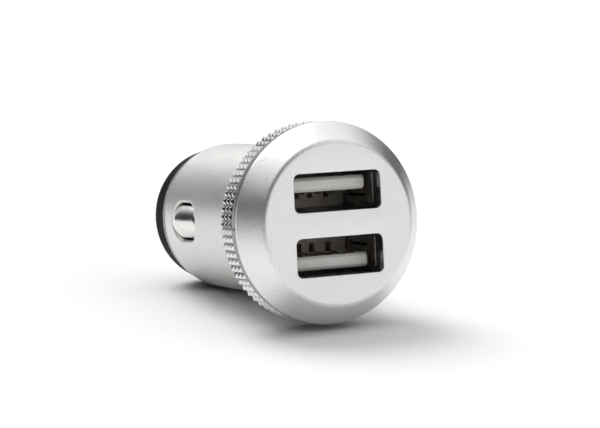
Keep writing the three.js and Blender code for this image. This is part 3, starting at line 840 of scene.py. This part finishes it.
# ---- Socket contacts ----
def build_pin():
    """The centre pin: a flange and a round end."""
    end_round = 1.6 * MM
    edge = 0.12 * MM
    profile = [
        (0, PIN_START), (PIN_FLANGE - edge, PIN_START), (PIN_FLANGE, PIN_START + edge),
        (PIN_FLANGE, PIN_FLANGE_END - edge), (PIN_FLANGE - edge, PIN_FLANGE_END),
        (PIN_RADIUS, PIN_FLANGE_END),
        *arc((PIN_RADIUS - end_round, PIN_END - end_round), end_round, 0, math.pi / 2, 14),
        (0, PIN_END),
    ]
    pin = make("centre_pin", lathe(profile, 96, closed=False))
    dress(pin, "tip", BRIGHT_NICKEL, "tip_pin")


def build_spring():
    """A round-wire coil of even pitch."""
    wire = 0.25 * MM
    radius = 3.3 * MM
    start = 30.45 * MM
    end = PIN_START - 0.3 * MM
    turns = 4.5
    steps = 200
    sides = 12
    up = Vector((0, 1, 0))
    bm = bmesh.new()
    loops = []
    for step in range(steps + 1):
        t = step / steps
        angle = turns * 2 * math.pi * t
        along = start + (end - start) * t
        centre = Vector((radius * math.cos(angle), along, radius * math.sin(angle)))
        out = Vector((math.cos(angle), 0, math.sin(angle)))
        around = [2 * math.pi * k / sides for k in range(sides)]
        loops.append([centre + wire * (math.cos(a) * out + math.sin(a) * up) for a in around])
    first, last = loft(bm, loops)
    bm.faces.new(first)
    bm.faces.new(last)
    spring = make("tip_coil", bm, 50.0)
    dress(spring, "housing", SPRING_STEEL, "tip_spring")
    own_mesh(spring)


def dome_height(along, across):
    """The dome's distance from the barrel's axis, at parts of its half length and half width."""
    flank = 1 + DOME_TOP if along < DOME_TOP else 1 - DOME_TOP
    rise = (abs(along - DOME_TOP) / flank) ** DOME_RISE_POWER
    side_fall = 1 - math.sqrt(1 - DOME_FULLNESS ** 2)
    crown = (1 - math.sqrt(1 - (DOME_FULLNESS * across) ** 2)) / side_fall
    return DOME_PEAK - DOME_RISE * rise - DOME_CROWN * crown


def squared(part):
    """Turns a sine or cosine into one for an outline between an ellipse and a rectangle."""
    return math.copysign(abs(part) ** (2 / DOME_SQUARENESS), part)


def dome_loop(share, drop, inset, level=None):
    """A loop on the dome, scaled by share and lowered by drop, or at one level instead."""
    points = []
    for i in range(LOOP_SEGMENTS):
        turn = 2 * math.pi * i / LOOP_SEGMENTS
        along = share * squared(math.cos(turn))
        across = share * squared(math.sin(turn))
        x = dome_height(along, across) - drop if level is None else level
        y = WINDOW_MIDDLE + along * (DOME_LENGTH / 2 - inset)
        points.append(Vector((x, y, across * (LEAF_WIDTH / 2 - inset))))
    return points


def stamped_dome():
    """The hollow dome of the right-hand contact, rounded over where it meets its sides."""
    edge = 0.2 * MM
    steps = 20
    edge_steps = 6
    thickness = LEAF_THICKNESS
    floor = LEAF_PLANE - thickness / 2
    shares = [k / steps for k in range(1, steps)]
    flat_share = 1 - edge / (LEAF_WIDTH / 2)
    outer = [dome_loop(s * flat_share, 0, 0) for s in shares]
    for step in range(edge_steps + 1):
        turn = math.pi / 2 * step / edge_steps
        share = flat_share + (1 - flat_share) * math.sin(turn)
        outer.append(dome_loop(share, edge * (1 - math.cos(turn)), 0))
    outer.append(dome_loop(1, 0, 0, level=floor))
    inner_shares = [1, *reversed(shares)]  # the wall thickens towards the rounded rim
    inner = [dome_loop(1, 0, thickness, level=floor)]
    inner += [dome_loop(s, thickness + edge * s ** 6, thickness) for s in inner_shares]
    bm = bmesh.new()
    first, last = loft(bm, outer + inner)
    for loop, drop in ((first, 0), (last, thickness)):
        centre = bm.verts.new((dome_height(0, 0) - drop, WINDOW_MIDDLE, 0))
        for i in range(len(loop)):
            bm.faces.new((loop[i], loop[(i + 1) % len(loop)], centre))
    return bm


def build_ground_contact(side, body, node):
    """A leaf with a dome, a bent root and a tail. side is 1 on the right and -1 on the left."""
    turn = None if side > 0 else Matrix.Rotation(math.pi, 4, "Y")
    contact = make(node + "_leaf", stamped_dome(), 40.0, turn)

    def place(along, out, across):
        return Vector((side * out, along, side * across))

    bend = 0.3 * MM
    wall_reach = DOME_LENGTH / 2 - LEAF_THICKNESS / 2  # from the dome's middle into its end walls
    bend_centre = (LEAF_ROOT + bend, LEAF_PLANE - bend)
    arm_line = [
        (LEAF_ROOT, LEAF_FOOT),
        *arc(bend_centre, bend, math.pi, math.pi / 2, 3),
        (WINDOW_MIDDLE - wall_reach, LEAF_PLANE),
    ]
    tail_line = [
        (WINDOW_MIDDLE + wall_reach, LEAF_PLANE),
        (LEAF_END - 2 * bend, LEAF_PLANE), (LEAF_END, LEAF_PLANE - bend),
    ]
    width = LEAF_WIDTH - 2 * CLEARANCE
    arm = make("arm", ribbon(arm_line, LEAF_THICKNESS, width, place))
    tail = make("tail", ribbon(tail_line, LEAF_THICKNESS, width, place))
    combine(contact, "UNION", [arm, tail])
    shade(contact, 40.0)
    dress(contact, body, BRIGHT_NICKEL, node)


# ---- USB ports ----
def build_shell(name, turn, node):
    """The folded shell, with a finger pressed in on each wall and legs down to the board."""
    corner = 0.9 * MM
    lip = 0.08 * MM
    skim = 0.01 * MM  # keeps the faces of two joined parts from lying in one plane
    width, height, wall = SHELL_WIDTH, SHELL_HEIGHT, SHELL_WALL
    loops = []
    for grow, y in ((-lip, SHELL_START), (0, SHELL_START + lip), (0, SHELL_END)):
        loops.append(slot_loop(width, height, corner, y, PORT_Z, grow))
    for grow, y in ((-wall, SHELL_END), (-wall, SHELL_START + lip), (-wall + lip, SHELL_START)):
        loops.append(slot_loop(width, height, corner, y, PORT_Z, grow))
    bm = bmesh.new()
    loft(bm, loops, closed=True)
    shell = make(name, bm)

    finger_start, finger_end = 4.6 * MM, 9.4 * MM
    half, slit = 0.75 * MM, 0.35 * MM
    press = 0.2 * MM
    flat_end = finger_end - 0.4 * MM
    touch_start, touch_end = finger_start + 0.9 * MM, finger_start + 1.5 * MM
    finger_x = 3.2 * MM
    places = [(x, height / 2, angle) for angle in (0, math.pi) for x in (-finger_x, finger_x)]
    places += [(0, width / 2, math.pi / 2), (0, width / 2, -math.pi / 2)]
    windows, fingers = [], []
    for x, z, angle in places:
        around = Matrix.Translation((0, 0, PORT_Z)) @ Matrix.Rotation(angle, 4, "Y")
        hole = box_mesh((x - half - slit, finger_start - slit, z - 2 * wall),
                        (x + half + slit, finger_end, z + wall))
        windows.append(make("hole", hole, turn=around))
        middle = z - wall / 2
        line = [
            (finger_end + wall / 2, middle - skim), (flat_end, middle - skim),
            (touch_end, middle - press), (touch_start, middle - press),
            (finger_start, middle + press),
        ]

        def place(along, up, across, x=x):
            return Vector((x + across, along, up))

        blade = ribbon(line, wall - 3 * skim, 2 * half, place)
        fingers.append(make("blade", blade, turn=around))
    combine(shell, "DIFFERENCE", windows)
    leg_start, leg_end = 9.7 * MM, 11.2 * MM
    leg_foot = BOARD_TOP + CLEARANCE / 2
    leg_top = PORT_Z - height / 2 + 1.0 * MM
    legs = []
    for x in (width / 2 - wall, -width / 2):
        low = (x + skim / 2, leg_start, leg_foot)
        high = (x + wall - skim / 2, leg_end, leg_top)
        legs.append(make("leg", box_mesh(low, high)))
    combine(shell, "UNION", fingers + legs)
    shell.data.transform(turn)
    shade(shell, 30.0)
    dress(shell, "housing", PORT_METAL, node)


def build_insulator(name, turn, node):
    """The block at the back of the port and its tongue, with a groove for each contact."""
    chamfer = 0.38 * MM
    block_corner = 0.6 * MM
    overrun = 1.0 * MM  # how far the cutters reach past the block
    back = INSULATOR_START + CLEARANCE
    bm = bmesh.new()
    half = TONGUE_HALF_WIDTH
    sections = []
    for x, inset in ((-half, chamfer), (-half + chamfer, 0), (half - chamfer, 0), (half, chamfer)):
        front = TONGUE_START + inset
        side = [
            (front, TONGUE_BOTTOM + chamfer), (front + chamfer, TONGUE_BOTTOM),
            (back, TONGUE_BOTTOM), (back, TONGUE_TOP),
            (front + chamfer, TONGUE_TOP), (front, TONGUE_TOP - chamfer),
        ]
        sections.append([Vector((x, y, z)) for y, z in side])
    first, last = loft(bm, sections)
    bm.faces.new(first)
    bm.faces.new(last)
    piece = make(name, bm)
    block = bmesh.new()
    loops = [
        slot_loop(INSULATOR_WIDTH, INSULATOR_HEIGHT, block_corner, y, PORT_Z)
        for y in (INSULATOR_START, INSULATOR_END)
    ]
    front, rear = loft(block, loops)
    block.faces.new(front)
    block.faces.new(rear)
    combine(piece, "UNION", [make("block", block)])
    cutters = []
    for x in CONTACT_X:
        low = (x - GROOVE_WIDTH / 2, GROOVE_START, TONGUE_BOTTOM - CLEARANCE)
        high = (x + GROOVE_WIDTH / 2, INSULATOR_END + overrun, GROOVE_TOP)
        cutters.append(make("groove", box_mesh(low, high)))
        low = (x - SLOT_HALF_WIDTH, INSULATOR_START - overrun, TONGUE_BOTTOM - SLOT_RISE)
        high = (x + SLOT_HALF_WIDTH, INSULATOR_END + overrun, TONGUE_BOTTOM)
        cutters.append(make("slot", box_mesh(low, high)))
    combine(piece, "DIFFERENCE", cutters)
    soften(piece, 0.05 * MM)
    # the block's faces get the darker cream that paints the shade at the back of the port
    in_block = [face.center.y > INSULATOR_START - CLEARANCE for face in piece.data.polygons]
    piece.data.transform(turn)
    dress(piece, "housing", CREAM, node)
    second_finish(piece, PORT_BACK_PAINTED_SHADE, in_block)


def build_usb_contact(name, x, turn, body, node):
    """A flat spring: curled tip, touching point, long arm and a tail down to the board."""
    curl_y, curl_radius = 4.12 * MM, 0.62 * MM
    arm_start, arm_end = 6.2 * MM, 10.2 * MM
    arm_dip, arm_level = 4.46 * MM, 4.62 * MM
    tail_y = INSULATOR_END + 0.65 * MM
    tail_foot = BOARD_TOP + 0.25 * MM
    line = [
        *arc((curl_y, arm_level), curl_radius, math.radians(195), math.radians(292), 10),
        (arm_start, arm_dip), (arm_end, arm_level), (tail_y - 0.25 * MM, arm_level),
        (tail_y - 0.05 * MM, arm_level - 0.1 * MM), (tail_y, arm_level - 0.32 * MM),
        (tail_y, tail_foot),
    ]

    def place(along, up, across):
        return Vector((x + across, along, up))

    contact = make(name, ribbon(line, CONTACT_THICKNESS, CONTACT_WIDTH, place))
    soften(contact, 0.03 * MM)
    contact.data.transform(turn)
    dress(contact, body, GOLD_FLASH, node)


def build_ports():
    for port, turn in (("upper", Matrix.Identity(4)), ("lower", Matrix.Rotation(math.pi, 4, "Y"))):
        build_shell(f"{port}_port_shell", turn, f"usb_shell_{port}")
        build_insulator(f"{port}_port_tongue", turn, f"usb_insulator_{port}")
        for i, x in enumerate(CONTACT_X, 1):
            build_usb_contact(f"{port}_port_contact_{i}", x, turn, f"{port}_port_contacts",
                              f"usb_contact_{port}_{i}")


# ---- Electronics: the CAD solids, with softened edges and real finishes ----
def dress_electronics():
    # each node's material, and the width of its softened edges in millimetres
    finishes = {
        "circuit_board": (SOLDER_MASK, 0.05), "tip_terminal": (BRASS, 0.05),
        "carrier_upper": (MATT_BLACK, 0.08), "carrier_lower": (MATT_BLACK, 0.08),
        "inductor": (FERRITE, 0.25), "input_capacitor": (CAN_METAL, 0.05),
        "output_capacitor": (CAN_METAL, 0.05), "converter_chip": (EPOXY, 0.06),
        "charge_controller_chip": (EPOXY, 0.05), "rectifier_diode": (EPOXY, 0.12),
        "fuse": (CERAMIC, 0.06),
    }
    finishes.update({f"resistor_{i}": (EPOXY, 0.05) for i in (1, 2, 3, 4)})
    finishes.update({f"ceramic_capacitor_{i}": (CERAMIC, 0.08) for i in (1, 2)})
    for name, (material, width) in finishes.items():
        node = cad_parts[name]
        node.data.materials.clear()
        node.data.materials.append(material)
        add_bevel(node, width * MM, 30.0)


# ---- Setting: floor, light and camera ----
FLOOR_NORMAL = Vector((-0.0117, -0.1273, 0.9918)).normalized()
FLOOR_HALF_SIZE = 2.5
FLOOR_GAP = 0.02 * MM  # left between the floor and what rests on it

CAMERA_PLACE = Vector((-139.864, -271.963, 18.853)) * MM
CAMERA_RIGHT = Vector((0.89466, -0.44432, -0.04647))
CAMERA_BACK = Vector((-0.441728, -0.895359, 0.056642)).normalized()
CAMERA_LENS = 139.84  # in mm, on a sensor 36 mm wide


def build_floor():
    """A pale flat floor that the charger lies on, touching its head or its barrel's end."""
    bm = bmesh.new()
    bmesh.ops.create_grid(bm, x_segments=8, y_segments=8, size=FLOOR_HALF_SIZE)
    floor = make("floor", bm, turn=FLOOR_NORMAL.to_track_quat("Z", "Y").to_matrix().to_4x4())
    lowest = min(point.dot(FLOOR_NORMAL) for point in support_points())
    floor.location = FLOOR_NORMAL * (lowest - FLOOR_GAP)
    n = Nodes("floor_white")
    n.set(Roughness=0.9)
    n.colour(n.mix(n.noise(0.05), (0.94, 0.94, 0.94), (0.955, 0.955, 0.955)))
    floor.data.materials.append(n.material)


def support_points():
    """Points that can touch the floor: the head's rim, the knurl and the end of the barrel."""
    rings = ((HEAD_RADIUS, RIM_Y), (HEAD_RADIUS, KNURL_END), (SLEEVE_RADIUS, SLEEVE_CHAMFER_START))
    return [p for radius, y in rings for p in circle(radius, y)]


# Each card: its direction, the degrees away from it where it fades and where it's gone, its level.
CARDS = (
    (Vector((0.16, 0.95, 0.28)), 24, 36, 0.58),
    (Vector((0.44, -0.88, 0.16)), 18, 42, 0.87),
    (Vector((-0.14, 0.46, 0.88)), 12, 22, 7.1),
)
FLAG_AXIS = Vector((-0.20, -0.74, 0.64)).normalized()
FLAG_STOPS = ((180, 1.0), (38, 1.0), (20, 0.22), (0, 0.22))  # degrees away, share of light left
CEILING_AXIS = (FLOOR_NORMAL + Vector((0.06, 0.04, 0.0))).normalized()
CEILING_STOPS = ((-90, 0.02), (25, 0.02), (43, 1.05), (90, 1.05))  # height in degrees, level


def build_world():
    """A studio in the round: a bright ceiling with a dark flag, a dark room and white cards."""
    world = bpy.data.worlds.new("studio")
    bpy.context.scene.world = world
    world.use_nodes = True
    tree = world.node_tree
    tree.nodes.clear()
    direction = tree.nodes.new("ShaderNodeTexCoord").outputs["Generated"]

    def facing(axis):
        """0 for light from straight behind the axis, 1 for light from straight along it."""
        dot = tree.nodes.new("ShaderNodeVectorMath")
        dot.operation = "DOT_PRODUCT"
        dot.inputs[1].default_value = axis
        tree.links.new(direction, dot.inputs[0])
        node = tree.nodes.new("ShaderNodeMapRange")
        node.inputs["From Min"].default_value = -1.0
        tree.links.new(dot.outputs["Value"], node.inputs["Value"])
        return node.outputs["Result"]

    def ramp(value, stops):
        """Maps a facing value to a grey level, from (degrees away from the axis, level) stops."""
        node = tree.nodes.new("ShaderNodeValToRGB")
        elements = node.color_ramp.elements
        while len(elements) < len(stops):
            elements.new(0.5)
        for element, (angle, level) in zip(elements, stops):
            element.position = (math.cos(math.radians(angle)) + 1) / 2
            element.color = (level, level, level, 1)
        tree.links.new(value, node.inputs["Fac"])
        return node.outputs["Color"]

    def blend(kind, first, second):
        node = tree.nodes.new("ShaderNodeMix")
        node.data_type = "RGBA"
        node.blend_type = kind
        node.inputs["Factor"].default_value = 1.0
        tree.links.new(first, node.inputs["A"])
        tree.links.new(second, node.inputs["B"])
        return node.outputs["Result"]

    ceiling = ramp(facing(CEILING_AXIS), [(90 - height, level) for height, level in CEILING_STOPS])
    light = blend("MULTIPLY", ceiling, ramp(facing(FLAG_AXIS), FLAG_STOPS))
    for axis, full, gone, level in CARDS:
        card = ramp(facing(axis.normalized()), [(180, 0), (gone, 0), (full, level), (0, level)])
        light = blend("LIGHTEN", light, card)
    background = tree.nodes.new("ShaderNodeBackground")
    tree.links.new(light, background.inputs["Color"])
    output = tree.nodes.new("ShaderNodeOutputWorld")
    tree.links.new(background.outputs["Background"], output.inputs["Surface"])


def build_camera():
    camera = bpy.data.objects.new("camera", bpy.data.cameras.new("camera"))
    camera.data.sensor_width = 36.0
    camera.data.lens = CAMERA_LENS
    camera.data.clip_start = 0.01
    camera.data.clip_end = 20.0
    up = CAMERA_BACK.cross(CAMERA_RIGHT).normalized()
    right = up.cross(CAMERA_BACK)
    turn = Matrix((right, up, CAMERA_BACK)).transposed().to_4x4()
    camera.matrix_world = Matrix.Translation(CAMERA_PLACE) @ turn
    bpy.context.scene.collection.objects.link(camera)
    bpy.context.scene.camera = camera


build_cap()
build_port_frame()
build_spacer()
build_knurl()
build_sleeve()
build_nose()
build_pin()
build_spring()
build_ground_contact(1, "right_contact", "ground_contact_right")
build_ground_contact(-1, "left_contact", "ground_contact_left")
build_ports()
dress_electronics()
build_floor()
build_world()
build_camera()
bpy.context.scene.view_settings.view_transform = "Standard"
